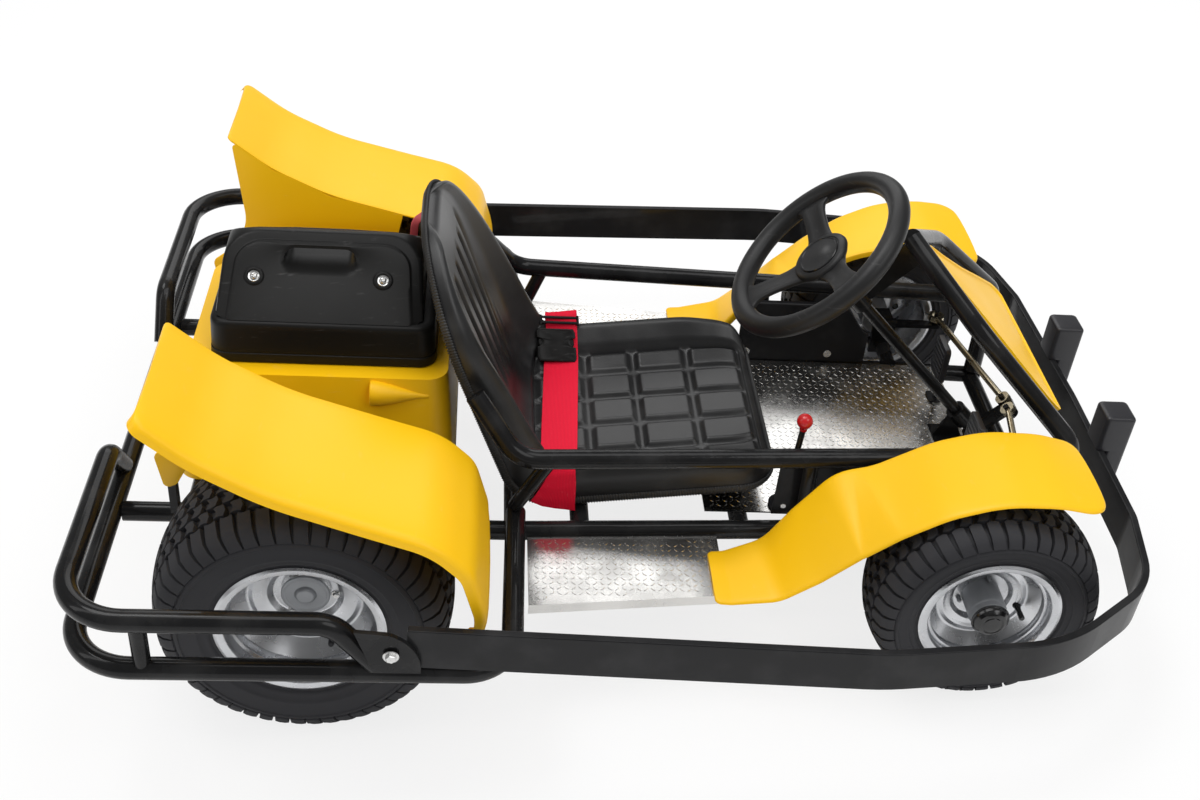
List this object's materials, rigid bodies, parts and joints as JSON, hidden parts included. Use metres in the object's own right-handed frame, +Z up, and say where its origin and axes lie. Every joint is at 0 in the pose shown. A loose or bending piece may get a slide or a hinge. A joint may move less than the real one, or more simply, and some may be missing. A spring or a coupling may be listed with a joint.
{
  "type": "racing kart",
  "caption": "Small open electric kart: tube frame with a flat side band, bucket seat, rear battery case, four mudguards and turf tyres.",
  "frame": {"origin": "on the floor, under the middle of the bounding box", "axes": "+X to the front, +Y to the driver's left, +Z up"},
  "size_m": [1.7076, 1.2842, 0.6759],
  "materials": {
    "frame_black": "gloss",
    "yellow_plastic": "satin",
    "tread_plate": "satin",
    "seat_vinyl": "satin",
    "webbing": "matte",
    "black_plastic": "satin",
    "buffer_rubber": "satin",
    "rim_silver": "satin",
    "tyre_rubber": "matte",
    "bright_steel": "satin",
    "red_knob": "gloss",
    "drive_alloy": "satin"
  },
  "bodies": {
    "chassis": {"lower_frame": "frame_black", "guard_lugs": "frame_black", "upper_frame": "frame_black", "column_bearing": "frame_black", "rear_bumper": "frame_black", "bumper_hoops": "frame_black", "bumper_band": "frame_black", "front_buffers": "buffer_rubber", "step_plate_left": "tread_plate", "step_plate_right": "tread_plate", "floor_plate": "tread_plate", "seat": "seat_vinyl", "seat_feet": "black_plastic", "lap_belt": "webbing", "belt_buckle": "black_plastic", "rear_body": "yellow_plastic", "case_tray": "black_plastic", "case_lid": "black_plastic", "case_strap": "webbing", "rear_mudguard_left": "yellow_plastic", "rear_mudguard_right": "yellow_plastic", "front_mudguard_left": "yellow_plastic", "front_mudguard_right": "yellow_plastic", "nose_panel": "yellow_plastic", "pedals": "frame_black", "hand_lever": "frame_black", "lever_knob": "red_knob", "drive_unit": "drive_alloy"},
    "rear_axle": {"rear_axle": "bright_steel", "rear_rim_left": "rim_silver", "rear_rim_right": "rim_silver", "rear_tyre_left": "tyre_rubber", "rear_tyre_right": "tyre_rubber"},
    "steering": {"steering_column": "frame_black", "steering_wheel": "black_plastic"},
    "knuckle_left": {"knuckle_left": "frame_black"},
    "front_wheel_left": {"front_rim_left": "rim_silver", "front_tyre_left": "tyre_rubber", "hub_cap_left": "black_plastic"},
    "tie_rod_left": {"tie_rod_left": "bright_steel"},
    "knuckle_right": {"knuckle_right": "frame_black"},
    "front_wheel_right": {"front_rim_right": "rim_silver", "front_tyre_right": "tyre_rubber", "hub_cap_right": "black_plastic"},
    "tie_rod_right": {"tie_rod_right": "bright_steel"}
  },
  "joints": [
    {"name": "rear_axle_spin", "type": "hinge", "parent": "chassis", "child": "rear_axle", "pos_m": [-0.52241, 0, 0.228], "axis": [0, 1, 0], "continuous": true},
    {"name": "steer", "type": "hinge", "parent": "chassis", "child": "steering", "pos_m": [0.3144, 0, 0.55887], "axis": [-0.6442, 0, 0.7648], "range_deg": [-30, 30]},
    {"name": "knuckle_left_turn", "type": "hinge", "parent": "chassis", "child": "knuckle_left", "pos_m": [0.53325, 0.326, 0.183], "axis": [0.0766, 0, 0.9971], "range_deg": [-20.5, 20.5]},
    {"name": "front_left_spin", "type": "hinge", "parent": "knuckle_left", "child": "front_wheel_left", "pos_m": [0.53325, 0.416, 0.183], "axis": [0, 1, 0], "continuous": true},
    {"name": "tie_rod_left_swing", "type": "hinge", "parent": "steering", "child": "tie_rod_left", "pos_m": [0.69193, 0.016, 0.22706], "axis": [-0.6442, 0, 0.7648], "range_deg": [-31.6, 31.6]},
    {"name": "knuckle_right_turn", "type": "hinge", "parent": "chassis", "child": "knuckle_right", "pos_m": [0.53325, -0.326, 0.183], "axis": [0.0766, 0, 0.9971], "range_deg": [-20.5, 20.5]},
    {"name": "front_right_spin", "type": "hinge", "parent": "knuckle_right", "child": "front_wheel_right", "pos_m": [0.53325, -0.416, 0.183], "axis": [0, 1, 0], "continuous": true},
    {"name": "tie_rod_right_swing", "type": "hinge", "parent": "steering", "child": "tie_rod_right", "pos_m": [0.69193, -0.016, 0.22706], "axis": [-0.6442, 0, 0.7648], "range_deg": [-31.6, 31.6]}
  ],
  "couplings": [
    {"joint": "knuckle_left_turn", "follows": "steer", "ratio": 0.68},
    {"joint": "tie_rod_left_swing", "follows": "steer", "ratio": -1.052},
    {"joint": "knuckle_right_turn", "follows": "steer", "ratio": 0.68},
    {"joint": "tie_rod_right_swing", "follows": "steer", "ratio": -1.052}
  ]
}
